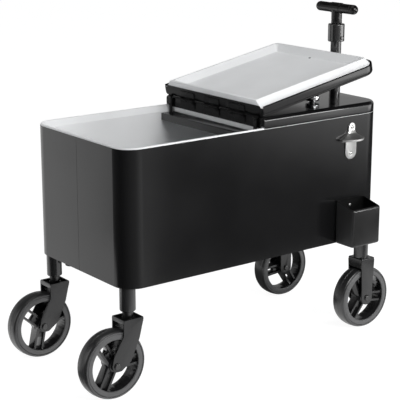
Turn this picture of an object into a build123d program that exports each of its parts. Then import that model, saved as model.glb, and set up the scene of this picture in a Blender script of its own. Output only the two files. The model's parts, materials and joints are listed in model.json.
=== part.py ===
from build123d import *
import math
import os

os.makedirs("parts", exist_ok=True)

# Sizes are in millimetres. Heights named local are measured from the tub's bottom edge.

# Tub
tub_length = 780.0
tub_width = 394.0
tub_height = 320.0
corner_radius = 48.0
steel = 1.2
ground_clearance = 258.5
seam_gap = 0.8

# Place of the tub's centre from the origin, which is the floor point under the middle of the whole cooler
tub_x = 19.0
tub_y = 32.5

# Liner
rim_top = 323.5
rim_thickness = 3.5
rim_inset = 1.0
rim_flat = 4.5
flare_bottom = 309.0
flare_run = 12.0
liner_corner = 24.0
liner_wall = 3.0
liner_floor = 34.0
floor_inset = 27.0
liner_floor_fillet = 10.0
pan_level = 8.0

# Lids
lid_bottom = 326.5
lid_top = 348.0
lid_edge = 4.5
lid_roll = 9.0
lid_hinge_roll = 2.5
lid_skin = 1.5
lid_rest_tilt = 10.8
tray_rim_level = 308.4
tray_floor_level = 326.0
tray_rim_width = 6.0
tray_right = 369.0
tray_half_width = 172.0
tray_bevel = 15.5
tray_slope = 12.0
tray_hinge_side = 6.2
tray_corner = 13.0
skirt_bottom = 321.5
skirt_half_length = 186.0
seal_height = 2.7

# Lid hinges
pin_radius = 2.0
knuckle_radius = 4.0
knuckle_bore = 2.05
hinge_places = (-100.0, 0.0, 100.0)
leaf_half_length = 28.0
post_plate = 2.4
post_outer_end = 176.0
post_inner_end = 164.0
rod_half_length = 178.4

# Lid knobs
knob_x = 233.0
knob_y = 111.0
knob_radius = 18.0
knob_height = 21.5
knob_dome = 60.0

# Centre bar
bar_half_width = 24.0
bar_top = 306.4
bar_depth = 18.0
bar_half_length = 178.4
bar_sheet = 1.5

# Legs
leg_radius = 18.5
leg_y = 161.5
left_leg_x = -363.0
right_leg_x = 369.0
left_leg_end = -58.0
right_leg_end = -68.5

# Wheels and forks, with heights from the floor
wheel_radius = 82.0
tyre_width = 40.0
rim_bore = 61.5
caster_trail = 47.0
rigid_offset = 3.0
plate_thickness = 3.0
fork_inner = 44.0
swivel_cap_length = 54.0
swivel_cap_top = 186.0
rigid_cap_top = 190.0
rigid_cap_length = 46.0
stem_radius = 6.0
axle_radius = 4.0
bush_radius = 6.5
hub_radius = 16.0
hub_half_width = 19.0
spoke_rib = 5.5
spoke_half_gap = 10.5
spoke_depth = 26.0
wheel_turn = {"front_left": 2.0, "rear_left": 18.0, "front_right": -8.0, "rear_right": 65.0}

# Pull handle
handle_x = 412.0
post_radius = 14.0
post_bore = 12.0
post_bottom = 40.0
post_top = 500.0
handle_stem_radius = 11.0
collar_radius = 21.5
collar_bottom = 474.0
collar_top = 520.0
grip_level = 561.0
grip_radius = 12.5
grip_length = 148.0
grip_boss_half = 18.0
button_level = 484.0
button_radius = 4.5
bracket_levels = (72.0, 274.0)
bracket_height = 24.0

# Bottle opener and cap catcher
opener_x = 285.0
opener_top = 303.0
opener_bottom = 212.0
hood_bottom = 48.0
hood_lip = 5.0
hood_top = 72.0
hood_half = 37.0
hood_top_half = 10.0
hood_depth = 26.0
hood_top_depth = 4.0
catcher_x = 288.0
catcher_width = 94.0
catcher_depth = 65.0
catcher_rear = 113.0
catcher_front = 97.5

# Drain
drain_x = -336.0
drain_y = 126.0
drain_radius = 10.0
drain_bore = 7.5
drain_end = -25.0

end_x = tub_length / 2
side_y = tub_width / 2
leg_places = {
    "front_left": (left_leg_x, -leg_y),
    "rear_left": (left_leg_x, leg_y),
    "front_right": (right_leg_x, -leg_y),
    "rear_right": (right_leg_x, leg_y),
}


def local(shape):
    """Lifts a shape drawn from the tub's bottom edge to its height above the floor."""
    return Pos(0, 0, ground_clearance) * shape


def save(name, shapes):
    """Writes one node, moved from the tub's centre to the cooler's own origin."""
    solids = []
    for shape in shapes:
        solids.extend(shape.solids())
    moved = [Pos(tub_x, tub_y, 0) * solid for solid in solids]
    whole = moved[0] if len(moved) == 1 else Compound(moved)
    export_step(whole, f"parts/{name}.step")


def cylinder(x, y, low, high, radius):
    """A vertical cylinder between two heights."""
    return Pos(x, y, (low + high) / 2) * Cylinder(radius, high - low)


def cylinder_y(x, z, low, high, radius):
    """A cylinder along Y between two places."""
    return Pos(x, (low + high) / 2, z) * (Rot(90, 0, 0) * Cylinder(radius, high - low))


def cylinder_x(y, z, low, high, radius):
    """A cylinder along X between two places."""
    return Pos((low + high) / 2, y, z) * (Rot(0, 90, 0) * Cylinder(radius, high - low))


def block(x_low, x_high, y_low, y_high, z_low, z_high):
    """A box between two corners."""
    middle = Pos((x_low + x_high) / 2, (y_low + y_high) / 2, (z_low + z_high) / 2)
    return middle * Box(x_high - x_low, y_high - y_low, z_high - z_low)


def outline(inset, radius=None):
    """The tub's rounded outline, drawn in by an inset."""
    turn = corner_radius - inset if radius is None else radius
    return RectangleRounded(tub_length - 2 * inset, tub_width - 2 * inset, turn)


def slab(inset, low, high, radius=None):
    """The tub's outline filled between two heights."""
    return Pos(0, 0, low) * extrude(outline(inset, radius), high - low)


def taper_up(face, low, high, spread):
    """A block that widens by the spread on every side between two heights."""
    angle = math.degrees(math.atan2(spread, high - low))
    return extrude(Pos(0, 0, low) * face, high - low, taper=-angle)


def frustum(inset_low, low, inset_high, high, radius_low):
    """A tapered block between two of the tub's outlines."""
    return taper_up(outline(inset_low, radius_low), low, high, inset_low - inset_high)


def wall_holes(grow=0.0):
    """The screw holes through the tub's walls, shared by wrap, foam and liner."""
    holes = []
    for x, z in opener_screw_places() + catcher_screw_places():
        holes.append(cylinder_y(x, z, -side_y - 2, -side_y + 14, 2.1 + grow))
    for level in bracket_levels:
        for y in (-20.0, 20.0):
            holes.append(cylinder_x(y, level, end_x - 16, end_x + 2, 2.1 + grow))
    return holes


def opener_screw_places():
    return [(opener_x + 2.0, opener_top - 11.0), (opener_x, opener_bottom + 14.0)]


def catcher_screw_places():
    return [(catcher_x, catcher_rear - 20.0), (catcher_x, 26.0)]


# Tub


def body_wrap():
    """The side wrap: one bent sheet whose ends meet at a seam on the left end."""
    sheet = slab(0, 0, tub_height) - slab(steel, -1, tub_height + 1)
    sheet -= block(-end_x - 1, -end_x + 3, -seam_gap / 2, seam_gap / 2, -1, tub_height + 1)
    for hole in wall_holes():
        sheet -= hole
    return local(sheet)


def bottom_pan():
    """The folded bottom, set up inside the wrap."""
    gap = steel + 0.1
    pan = slab(gap, 1.5, pan_level + steel) - slab(gap + steel, 0, pan_level)
    for place in leg_places.values():
        for x, y in leg_bolt_places(place):
            pan -= cylinder(x, y, pan_level - 1, pan_level + 3, 3.3)
    pan -= cylinder(drain_x, drain_y, pan_level - 1, pan_level + 3, drain_radius + 0.2)
    return local(pan)


def liner_inside():
    """The space inside the liner."""
    mouth = rim_inset + rim_flat
    throat = mouth + flare_run
    low_corner = liner_corner - (floor_inset - throat)
    lower = frustum(floor_inset, liner_floor, throat, flare_bottom, low_corner)
    lower = fillet(lower.edges().group_by(Axis.Z)[0], liner_floor_fillet)
    upper = frustum(throat, flare_bottom, mouth, rim_top, liner_corner)
    return lower + upper + slab(mouth, rim_top, rim_top + 5, liner_corner + flare_run)


def liner_outside():
    """The liner's outer form under its flange."""
    throat = rim_inset + rim_flat + flare_run - liner_wall
    corner = liner_corner + liner_wall
    bottom = floor_inset - liner_wall
    step = flare_bottom - liner_wall
    lower = frustum(bottom, liner_floor - liner_wall, throat, step, corner - bottom + throat)
    return lower + frustum(throat, step, 4.5, tub_height, corner)


def liner():
    """The white tub with its flared mouth and flat rim."""
    shell = liner_outside() + slab(rim_inset, tub_height, rim_top)
    shell -= liner_inside()
    shell -= cylinder(drain_x, drain_y, liner_floor - 10, liner_floor + 10, drain_radius + 0.1)
    for x, y, side in bar_screw_places():
        shell -= bar_screw_hole(x, y, side)
    return local(shell)


def insulation():
    """The foam between liner and wrap."""
    foam = slab(steel + 0.2, pan_level + steel + 0.1, tub_height - 0.2)
    foam -= liner_outside()
    foam -= cylinder(drain_x, drain_y, 0, liner_floor + 5, drain_radius + 0.2)
    for hole in wall_holes(0.3):
        foam -= hole
    for place in leg_places.values():
        for x, y in leg_bolt_places(place):
            foam -= cylinder(x, y, pan_level, pan_level + 14, 6.5)
    for x, y, side in bar_screw_places():
        foam -= bar_screw_hole(x, y, side)
    return local(foam)


def bar_screw_places():
    places = []
    for side in (-1, 1):
        for x in (-14.0, 14.0):
            places.append((x, bar_top - 14.0, side))
    return places


def bar_screw_hole(x, z, side):
    low, high = sorted((side * 170.0, side * 191.0))
    return cylinder_y(x, z, low, high, 2.1)


def center_bar():
    """The channel that carries the hinges, with a folded tab at each end."""
    half, length, sheet = bar_half_width, bar_half_length, bar_sheet
    bar = block(-half, half, -length, length, bar_top - bar_depth, bar_top)
    bar -= block(-half + sheet, half - sheet, -length + sheet, length - sheet, 0, bar_top - sheet)
    bar = fillet(bar.edges().filter_by(Axis.Y).group_by(Axis.Z)[-1], 1.2)
    for side in (-1, 1):
        low, high = sorted((side * post_inner_end, side * post_outer_end))
        bar -= block(-post_plate / 2, post_plate / 2, low, high, bar_top - 5, bar_top + 5)
    for x, z, side in bar_screw_places():
        bar -= bar_screw_hole(x, z, side)
    return local(bar)


def center_bar_screws():
    """Screws through the bar's end tabs into the tub's walls."""
    screws = []
    for x, z, side in bar_screw_places():
        inner = side * (bar_half_length - bar_sheet)
        low, high = sorted((inner, side * 190.0))
        shank = cylinder_y(x, z, low, high, 2.0)
        low, high = sorted((inner, inner - side * 2.4))
        screws.append(local(shank + cylinder_y(x, z, low, high, 4.0)))
    return screws


def hinge_posts():
    """The upright at each end of the bar, footed inside it, that carries the hinge rod."""
    posts = []
    half = post_plate / 2
    foot_top = bar_top - bar_sheet
    for side in (-1, 1):
        low, high = sorted((side * post_inner_end, side * post_outer_end))
        plate = block(-half, half, low, high, foot_top - 1, lid_top)
        foot_low, foot_high = sorted((side * (post_inner_end - 10.0), side * post_outer_end))
        foot = block(-13, 13, foot_low, foot_high, foot_top - 2.4, foot_top)
        foot = fillet(foot.edges().filter_by(Axis.Z), 3.0)
        knuckle = cylinder_y(0, lid_top, low, high, knuckle_radius)
        bore = cylinder_y(0, lid_top, low - 1, high + 1, knuckle_bore)
        posts.append(local(foot + plate + knuckle - bore))
    return posts


def hinge_rod():
    """The long rod through the posts and all the knuckles, with a head at each end."""
    rod = cylinder_y(0, lid_top, -rod_half_length, rod_half_length, pin_radius)
    for side in (-1, 1):
        low, high = sorted((side * (post_outer_end + 0.3), side * rod_half_length))
        head = cylinder_y(0, lid_top, low, high, 3.2)
        rod += fillet(head.edges().group_by(Axis.Y)[-1 if side > 0 else 0], 0.8)
    return local(rod)


# Lids, drawn closed on the right half and mirrored for the left


def lid_outline(inset, hinge_edge):
    """A lid's outline: round at its free end and square at the hinge."""
    right = end_x - inset
    half = side_y - inset
    corners = [(hinge_edge, -half), (right, -half), (right, half), (hinge_edge, half)]
    face = make_face(Polyline(corners, close=True))
    return fillet(face.vertices().group_by(Axis.X)[-1], corner_radius - inset)


def lid_form(inset, low, high, roll):
    """A lid's block with its long upper edges rolled over."""
    near = lid_edge + inset
    form = Pos(0, 0, low) * extrude(lid_outline(inset, near), high - low)
    away = form.edges().group_by(Axis.Z)[-1].filter_by(lambda edge: edge.center().X > near + 1)
    form = fillet(away, roll)
    close = form.edges().filter_by(lambda edge: edge.center().X < near + 0.01 and edge.center().Z > low + 1)
    return fillet(close, max(lid_hinge_roll - inset, 0.6))


def lid_shell():
    """The black steel cover with its rolled edge and the skirt that hangs down beside the bar."""
    cover = lid_form(0, lid_bottom, lid_top, lid_roll) - lid_form(
        lid_skin, lid_bottom - 1, lid_top - lid_skin, lid_roll - lid_skin
    )
    half = skirt_half_length
    skirt = block(lid_edge, lid_edge + lid_skin, -half, half, skirt_bottom, lid_bottom + 1)
    skirt = fillet(skirt.edges().filter_by(Axis.X).group_by(Axis.Z)[0], 4.0)
    return cover + skirt


def tray_plug(inset, low, high):
    """The panel's plug: three sides spread towards the cover and the hinge side is upright."""
    right = tray_right - inset
    half = tray_half_width - inset
    face = make_face(Polyline((-40.0, -half), (right, -half), (right, half), (-40.0, half), close=True))
    face = fillet(face.vertices().group_by(Axis.X)[-1], tray_corner - inset)
    spread = tray_bevel * (high - low) / (lid_bottom - tray_rim_level)
    limit = Pos(0, 0, low) * extrude(lid_outline(5.6 + inset, tray_hinge_side + inset), high - low)
    return taper_up(face, low, high, spread) & limit


def tray_hollow(grow, low, high):
    """The panel's hollow, which narrows towards its floor."""
    inset = tray_rim_width - grow
    right = tray_right - inset
    half = tray_half_width - inset
    left = tray_hinge_side + inset
    face = Pos((left + right) / 2, 0) * RectangleRounded(right - left, 2 * half, tray_corner + 0.5 + grow)
    return taper_up(face, low, high, -tray_slope * (high - low) / (tray_floor_level - tray_rim_level))


def lid_panel():
    """The white moulded inner panel: a bevelled plug with a tray-like hollow."""
    sheet = 2.5
    base = lid_bottom + 3.0
    plate = Pos(0, 0, lid_bottom) * extrude(lid_outline(lid_skin + 0.3, lid_edge + lid_skin + 0.3), 3.0)
    plug = tray_plug(0.0, tray_rim_level, lid_bottom)
    plug = fillet(plug.edges().group_by(Axis.Z)[0], 2.0)
    hollow = tray_hollow(0.0, tray_rim_level, tray_floor_level)
    core = tray_plug(3.2, tray_rim_level + sheet, base) - tray_hollow(sheet + 0.8, tray_rim_level, base)
    return plate + plug - hollow - core


def lid_foam():
    """The foam sheet between cover and panel."""
    return lid_form(lid_skin + 0.2, lid_bottom + 3.1, lid_top - lid_skin - 0.2, lid_roll - lid_skin)


def lid_seal():
    """The rubber strip on three sides of the lid, which sits on the liner's rim."""
    low = lid_bottom - seal_height
    outer = Pos(0, 0, low) * extrude(lid_outline(1.9, 26.0), seal_height)
    inner = Pos(0, 0, low - 1) * extrude(lid_outline(5.4, 0.0), seal_height + 2)
    return outer - inner


def lid_knobs():
    """Two round knobs with a short neck and a domed end."""
    knobs = []
    for side in (-1, 1):
        neck = Pos(0, 0, 2.1) * Cone(9.5, 7.5, 4.2)
        head = cylinder(0, 0, 4.2, knob_height + 2, knob_radius)
        head = head & (Pos(0, 0, knob_height - knob_dome) * Sphere(knob_dome))
        rims = head.edges().filter_by(lambda edge: abs(edge.length - 2 * math.pi * knob_radius) < 0.1)
        head = fillet(rims.sort_by(Axis.Z)[-1], 3.0)
        head = fillet(head.edges().group_by(Axis.Z)[0], 2.0)
        knobs.append(Pos(knob_x, side * knob_y, lid_top) * (neck + head))
    return knobs


def hinge_leaves(segments):
    """The lid's own leaf on each hinge, with its knuckles."""
    leaves = []
    for y in hinge_places:
        leaf = block(2.5, lid_edge, y - leaf_half_length, y + leaf_half_length, lid_bottom + 1.5, 343.0)
        for low, high in segments:
            knuckle = cylinder_y(0, lid_top, y + low, y + high, knuckle_radius)
            neck = block(1.6, lid_edge, y + low, y + high, 342.0, lid_top)
            leaf = leaf + knuckle + neck
        leaf -= cylinder_y(0, lid_top, y - 40, y + 40, knuckle_bore)
        leaves.append(leaf)
    return leaves


def place_right(shape):
    """The right lid lies closed."""
    return local(shape)


def place_left(shape):
    """The left lid is mirrored, then swung over on to the right one."""
    closed = mirror(shape, Plane.YZ)
    swing = Pos(0, 0, lid_top) * Rot(0, 180.0 - lid_rest_tilt, 0) * Pos(0, 0, -lid_top)
    return local(swing * closed)


def save_lids():
    outer_segments = [(-28.0, -10.4), (10.4, 28.0)]
    inner_segments = [(-10.0, 10.0)]
    sides = (("right", place_right, outer_segments), ("left", place_left, inner_segments))
    shell, panel, foam, seal = lid_shell(), lid_panel(), lid_foam(), lid_seal()
    knobs = lid_knobs()
    for side, place, segments in sides:
        save(f"{side}_lid_shell", [place(shell)])
        save(f"{side}_lid_panel", [place(panel)])
        save(f"{side}_lid_foam", [place(foam)])
        save(f"{side}_lid_seal", [place(seal)])
        save(f"{side}_lid_knobs", [place(knob) for knob in knobs])
        save(f"{side}_hinge_leaves", [place(leaf) for leaf in hinge_leaves(segments)])


# Legs


def leg_bolt_places(place):
    """Three bolts on the inner side of a leg's flange."""
    x, y = place
    in_x = -math.copysign(1, x)
    in_y = -math.copysign(1, y)
    return [(x + in_x * 27, y + in_y * 10), (x + in_x * 27, y - in_y * 10), (x + in_x * 43, y)]


def leg_post(name):
    """A round leg with the flange that is bolted up under the bottom pan."""
    x, y = leg_places[name]
    in_x = -math.copysign(1, x)
    swivels = name.endswith("left")
    end = left_leg_end if swivels else right_leg_end
    tube = cylinder(x, y, end, -0.4, leg_radius)
    low_edges = tube.edges().group_by(Axis.Z)[0]
    tube = fillet(low_edges, 2.5 if swivels else 0.8)
    hollow = cylinder(x, y, end + 14, -4.0, leg_radius - 2.0)
    spigot = cylinder(x, y, -4.0, 5.0, 14.0)
    flange = block(*sorted((x - in_x * 16, x + in_x * 52)), y - 18, y + 18, 4.0, 7.9)
    flange = flange & slab(steel * 2 + 0.6, 3.0, 9.0)
    leg = tube - hollow + spigot + flange
    for bolt_x, bolt_y in leg_bolt_places((x, y)):
        leg -= cylinder(bolt_x, bolt_y, 3.0, 9.0, 3.3)
    if swivels:
        leg -= cylinder(x, y, end - 1, end + 15, stem_radius + 0.05)
    return local(leg)


def leg_bolts():
    """Hexagon bolts that hold the legs' flanges to the pan."""
    bolts = []
    for place in leg_places.values():
        for x, y in leg_bolt_places(place):
            head = Pos(x, y, 0.4) * extrude(RegularPolygon(5.6, 6), 3.6)
            shank = cylinder(x, y, 4.0, 18.0, 3.0)
            nut = Pos(x, y, pan_level + steel) * extrude(RegularPolygon(5.6, 6), 4.5)
            bolts.append(local(head + shank + nut))
    return bolts


# Casters, drawn for a leg at the origin with heights from the floor


def fork_plate(points, radii, side):
    """One side plate of a fork, cut from sheet."""
    face = make_face(FilletPolyline(*points, radius=radii, close=True))
    low = side * fork_inner / 2
    start = low if side > 0 else low - plate_thickness
    return Pos(0, start + plate_thickness, 0) * extrude(Plane.XZ * face, plate_thickness)


def swivel_fork():
    """The swept fork of a swivel caster, under a shallow open cap."""
    half = swivel_cap_length / 2
    wide = fork_inner / 2 + plate_thickness
    low = swivel_cap_top - 10.0
    cap = block(-half, half, -wide, wide, low, swivel_cap_top)
    cap = fillet(cap.edges().filter_by(Axis.Z), 2.5)
    cap -= block(-half + 2.5, half - 2.5, -wide + 2.5, wide - 2.5, low + 3.0, swivel_cap_top + 1)
    points = [
        (-half, swivel_cap_top - 2), (-half, 150.0), (-caster_trail - 8.0, 104.0),
        (-caster_trail - 15.0, wheel_radius - 14.0), (-caster_trail + 12.0, wheel_radius - 14.0),
        (-9.0, 86.0), (15.0, 137.0), (half, swivel_cap_top - 2),
    ]
    radii = [0.5, 16.0, 30.0, 13.5, 8.0, 10.0, 30.0, 0.5]
    fork = cap
    for side in (-1, 1):
        plate = fork_plate(points, radii, side)
        plate -= cylinder_y(-caster_trail, wheel_radius, -60, 60, axle_radius)
        fork += plate
    fork -= cylinder(0, 0, low - 1, swivel_cap_top, stem_radius)
    return fork


def rigid_fork():
    """The straight fork of a fixed wheel, with a closed neck."""
    half = rigid_cap_length / 2
    wide = fork_inner / 2 + plate_thickness
    low = 165.5
    neck = block(-half, half, -wide, wide, low, rigid_cap_top)
    neck = fillet(neck.edges().filter_by(Axis.Z) + neck.edges().group_by(Axis.Z)[-1], 2.0)
    neck -= block(-half + 2.5, half - 2.5, -wide + 2.5, wide - 2.5, low - 1, rigid_cap_top - 3.0)
    points = [
        (-half, rigid_cap_top - 6), (-18.5, 110.0), (-18.0, wheel_radius - 18.0),
        (18.0, wheel_radius - 18.0), (18.5, 110.0), (half, rigid_cap_top - 6),
    ]
    radii = [0.5, 20.0, 17.5, 17.5, 20.0, 0.5]
    fork = neck
    for side in (-1, 1):
        plate = fork_plate(points, radii, side)
        plate -= cylinder_y(0, wheel_radius, -60, 60, axle_radius)
        fork += plate
    return fork


def swivel_stem(end):
    """The swivel's stem with its two bearing rings."""
    top = ground_clearance + end
    stem = cylinder(0, 0, 172.0, top + 28.0, stem_radius)
    foot = Pos(0, 0, 172.0) * extrude(RegularPolygon(10.0, 6), 4.0)
    ring = cylinder(0, 0, swivel_cap_top - 7.0, swivel_cap_top - 1.0, 14.0)
    race = fillet(cylinder(0, 0, swivel_cap_top - 1.0, top - 0.4, 12.5).edges(), 1.5)
    return stem + foot + ring + race


def wheel_body(turn):
    """The moulded wheel: hub, three double-ribbed spokes and the rim."""
    rim_lines = Polyline(
        (rim_bore, -18.0), (rim_bore + 1.5, -20.0), (73.0, -20.0), (74.5, -18.5), (74.5, -17.0),
        (68.0, -15.5), (68.0, 15.5), (74.5, 17.0), (74.5, 18.5), (73.0, 20.0),
        (rim_bore + 1.5, 20.0), (rim_bore, 18.0), close=True,
    )
    rim = revolve(make_face(rim_lines), Axis.Y)
    hub = Rot(90, 0, 0) * Cylinder(hub_radius, 2 * hub_half_width)
    hub = chamfer(hub.edges(), 1.5)
    wheel = rim + hub
    tall = spoke_depth / 2
    for count in range(3):
        for side in (-1, 1):
            rib = block(8.0, rim_bore + 2, -tall, tall, -spoke_rib / 2, spoke_rib / 2)
            rib = Pos(0, 0, side * spoke_half_gap) * rib
            wheel += Rot(0, -120.0 * count, 0) * rib
        web = block(8.0, 32.0, -6.0, 6.0, -spoke_half_gap, spoke_half_gap)
        wheel += Rot(0, -120.0 * count, 0) * web
    gusset = Rot(90, 0, 0) * extrude(RegularPolygon(36.0, 3), 3.0, both=True)
    wheel += gusset & cylinder_y(0, 0, -4, 4, 33.0)
    wheel -= Rot(90, 0, 0) * Cylinder(bush_radius, 60)
    return Rot(0, -turn, 0) * wheel


def tyre():
    """The rubber tyre with its rounded tread."""
    half = tyre_width / 2
    lines = [
        Line((68.0, -15.5), (74.5, -17.0)),
        Line((74.5, -17.0), (75.0, -half + 0.6)),
        TangentArc((wheel_radius, -8.0), (75.0, -half + 0.6), tangent=(0, -1)),
        Line((wheel_radius, -8.0), (wheel_radius, 8.0)),
        TangentArc((wheel_radius, 8.0), (75.0, half - 0.6), tangent=(0, 1)),
        Line((75.0, half - 0.6), (74.5, 17.0)),
        Line((74.5, 17.0), (68.0, 15.5)),
        Line((68.0, 15.5), (68.0, -15.5)),
    ]
    return revolve(make_face(Wire(lines)), Axis.Y)


def wheel_bushes():
    """Two flanged bushes in the hub."""
    bushes = []
    for side in (-1, 1):
        low, high = sorted((side * 4.0, side * hub_half_width))
        body = cylinder_y(0, 0, low, high, bush_radius)
        low, high = sorted((side * hub_half_width, side * (hub_half_width + 2.0)))
        body += cylinder_y(0, 0, low, high, 10.0)
        body -= cylinder_y(0, 0, -60, 60, axle_radius + 0.05)
        bushes.append(body)
    return bushes


def axle():
    """The axle bolt with its round head, and the nut at the far side."""
    outer = fork_inner / 2 + plate_thickness
    bolt = cylinder_y(0, 0, -outer, outer + 7.0, axle_radius)
    head = cylinder_y(0, 0, -outer - 4.0, -outer, 7.5)
    head = fillet(head.edges().group_by(Axis.Y)[0], 2.0)
    nut = Pos(0, outer + 6.0, 0) * (Rot(90, 0, 0) * extrude(RegularPolygon(7.5, 6), 6.0))
    nut -= cylinder_y(0, 0, -60, 60, axle_radius)
    return [bolt + head, nut]


def save_casters():
    """Forks, stems, wheels, tyres, bushes and axles at the four legs."""
    for name, (x, y) in leg_places.items():
        swivels = name.endswith("left")
        shift = 0.0 if swivels else rigid_offset
        fork = swivel_fork() if swivels else rigid_fork()
        save(f"{name}_fork", [Pos(x + shift, y, 0) * fork])
        if swivels:
            save(f"{name}_swivel_stem", [Pos(x, y, 0) * swivel_stem(left_leg_end)])
        hub_x = x - caster_trail if swivels else x + shift
        hub = Pos(hub_x, y, wheel_radius)
        save(f"{name}_wheel", [hub * wheel_body(wheel_turn[name])])
        save(f"{name}_tyre", [hub * tyre()])
        save(f"{name}_bushes", [hub * bush for bush in wheel_bushes()])
        save(f"{name}_axle", [hub * piece for piece in axle()])


# Bottle opener and cap catcher


def opener_section(share, inset, wall):
    """The hood's outline at a share of its height: flat at its back and bowed to the front."""
    spread = (1.0 - share) ** 1.7
    half = hood_top_half + (hood_half - hood_top_half) * spread - inset
    depth = hood_top_depth + (hood_depth - hood_top_depth) * spread
    tip = min(-4.0 - depth * 0.25 + inset, -3.4)
    lines = [
        Line((-half, wall), (half, wall)),
        Line((half, wall), (half, tip)),
        ThreePointArc((half, tip), (0, min(-3.0 - depth + inset, tip - 0.4)), (-half, tip)),
        Line((-half, tip), (-half, wall)),
    ]
    return make_face(Wire(lines))


def opener_hood():
    """The flared hood with hollowed flanks, a thick lip along its lower edge and its own back."""
    low = hood_bottom + hood_lip
    height = hood_top - low
    shares = (0.0, 0.2, 0.45, 0.7, 1.0)
    faces = [Pos(0, 0, low + share * height) * opener_section(share, 0.0, 0.0) for share in shares]
    hood = loft(faces, ruled=True)
    hood += Pos(0, 0, hood_bottom) * extrude(opener_section(0.0, 0.0, 0.0), hood_lip)
    lip = hood.edges().group_by(Axis.Z)[0].filter_by(lambda edge: edge.center().Y < -5.0)
    hood = fillet(lip, 1.2)
    faces = [Pos(0, 0, low - 3.0 + share * height) * opener_section(share, 2.4, -3.0) for share in shares]
    room = loft(faces, ruled=True)
    room += Pos(0, 0, hood_bottom - 1) * extrude(opener_section(0.0, 2.4, -3.0), hood_lip - 2.0)
    return hood - room


def bottle_opener():
    """The cast opener: a ring tab, a flared hood over a tooth, and a lower plate."""
    top = opener_top - opener_bottom
    tab = extrude(Plane.XZ * (Pos(2, top - 16) * SlotCenterToCenter(12, 20, rotation=90)), 3.0)
    lower = extrude(Plane.XZ * (Pos(0, 29) * RectangleRounded(36, 58, 17)), 3.0)
    body = tab + lower + opener_hood()
    tooth_face = make_face(Polyline((-2, 50), (-2, 59), (-9, 56), (-7, 51), close=True))
    body = body + extrude(Plane.YZ * tooth_face, 11, both=True)
    for x, z in opener_screw_places():
        body -= cylinder_y(x - opener_x, z - opener_bottom, -8, 8, 2.1)
    return local(Pos(opener_x, -side_y, opener_bottom) * body)


def wall_screw(x, z, head_y):
    """A round-headed screw into the front wall."""
    screw = cylinder_y(x, z, head_y, -side_y + 12, 2.0)
    head = cylinder_y(x, z, head_y - 2.4, head_y, 4.2)
    head = fillet(head.edges().group_by(Axis.Y)[0], 1.6)
    return local(screw + head)


def cap_catcher():
    """The open box that catches the caps, with its rim cut down to the front."""
    half = catcher_width / 2
    front = -catcher_depth
    corners = [(0, 0), (front, 0), (front, catcher_front), (0, catcher_rear)]
    side = Plane.YZ * make_face(Polyline(corners, close=True))
    box = extrude(side, half, both=True)
    box = fillet(box.edges().filter_by(Axis.Z).filter_by(lambda e: e.center().Y < front + 1), 3.0)
    inside = block(-half + 1.2, half - 1.2, front + 1.2, -1.2, 1.2, catcher_rear + 5)
    inside = fillet(inside.edges().filter_by(Axis.Z).filter_by(lambda e: e.center().Y < front + 2), 1.8)
    box = box - inside
    box = Pos(catcher_x, -side_y, 0) * box
    for x, z in catcher_screw_places():
        box -= cylinder_y(x, z, -side_y - 5, -side_y + 2, 2.1)
    return local(box)


# Pull handle


def handle_post():
    """The fixed round tube outside the right end."""
    tube = cylinder(handle_x, 0, post_bottom, post_top, post_radius)
    tube = fillet(tube.edges().group_by(Axis.Z)[0], 2.0)
    tube -= cylinder(handle_x, 0, post_bottom + 4, post_top + 1, post_bore)
    return local(tube)


def handle_bracket(level):
    """A saddle that stands the tube off the tub's end."""
    low, high = level - bracket_height / 2, level + bracket_height / 2
    base = block(end_x, end_x + 3.0, -28, 28, low, high)
    base = fillet(base.edges().filter_by(Axis.X), 5.0)
    arm = block(end_x, handle_x, -13, 13, low, high)
    ring = cylinder(handle_x, 0, low, high, post_radius + 4.0)
    bracket = base + arm + ring
    bracket -= cylinder(handle_x, 0, low - 1, high + 1, post_radius)
    for y in (-20.0, 20.0):
        bracket -= cylinder_x(y, level, end_x - 1, end_x + 5, 2.1)
    return local(bracket)


def bracket_screws():
    """Screws through the saddles' base plates."""
    screws = []
    for level in bracket_levels:
        for y in (-20.0, 20.0):
            shank = cylinder_x(y, level, end_x - 14, end_x + 3.0, 2.0)
            head = cylinder_x(y, level, end_x + 3.0, end_x + 5.6, 4.2)
            head = fillet(head.edges().group_by(Axis.X)[-1], 1.6)
            screws.append(local(shank + head))
    return screws


def lock_collar():
    """The collar on top of the tube, which guides the sliding stem."""
    body = cylinder(handle_x, 0, collar_bottom, collar_top, collar_radius)
    body = chamfer(body.edges().group_by(Axis.Z)[0], 1.5)
    body = fillet(body.edges().group_by(Axis.Z)[-1], 2.5)
    body -= cylinder(handle_x, 0, collar_bottom - 1, post_top, post_radius)
    body -= cylinder(handle_x, 0, post_top - 1, collar_top + 1, handle_stem_radius + 0.05)
    body -= cylinder_y(handle_x, button_level, -collar_radius - 2, -15.2, button_radius + 0.06)
    return local(body)


def lock_button():
    """The release button in the collar's front."""
    button = cylinder_y(handle_x, button_level, -collar_radius - 3.0, -18.0, button_radius)
    button = fillet(button.edges().group_by(Axis.Y)[0], 1.2)
    return local(button)


def handle_stem():
    """The sliding stem with a guide plug at its foot."""
    stem = cylinder(handle_x, 0, 62.0, grip_level - 6.0, handle_stem_radius)
    plug = cylinder(handle_x, 0, 62.0, 86.0, post_bore - 0.05)
    return local(stem + plug)


def handle_grip():
    """The rubber T grip on its neck."""
    half = grip_length / 2 - grip_radius
    bar = cylinder_y(handle_x, grip_level, -half, half, grip_radius)
    for y in (-half, half):
        bar += Pos(handle_x, y, grip_level) * Sphere(grip_radius)
    neck = cylinder(handle_x, 0, collar_top + 0.3, grip_level, post_radius)
    neck = fillet(neck.edges().group_by(Axis.Z)[0], 1.0)
    boss = cylinder_y(handle_x, grip_level, -grip_boss_half, grip_boss_half, grip_radius + 1.3)
    boss = fillet(boss.edges(), 1.0)
    grip = bar + boss + neck
    grip -= cylinder(handle_x, 0, collar_top - 1, grip_level - 6.0, handle_stem_radius)
    return local(grip)


# Drain


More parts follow.
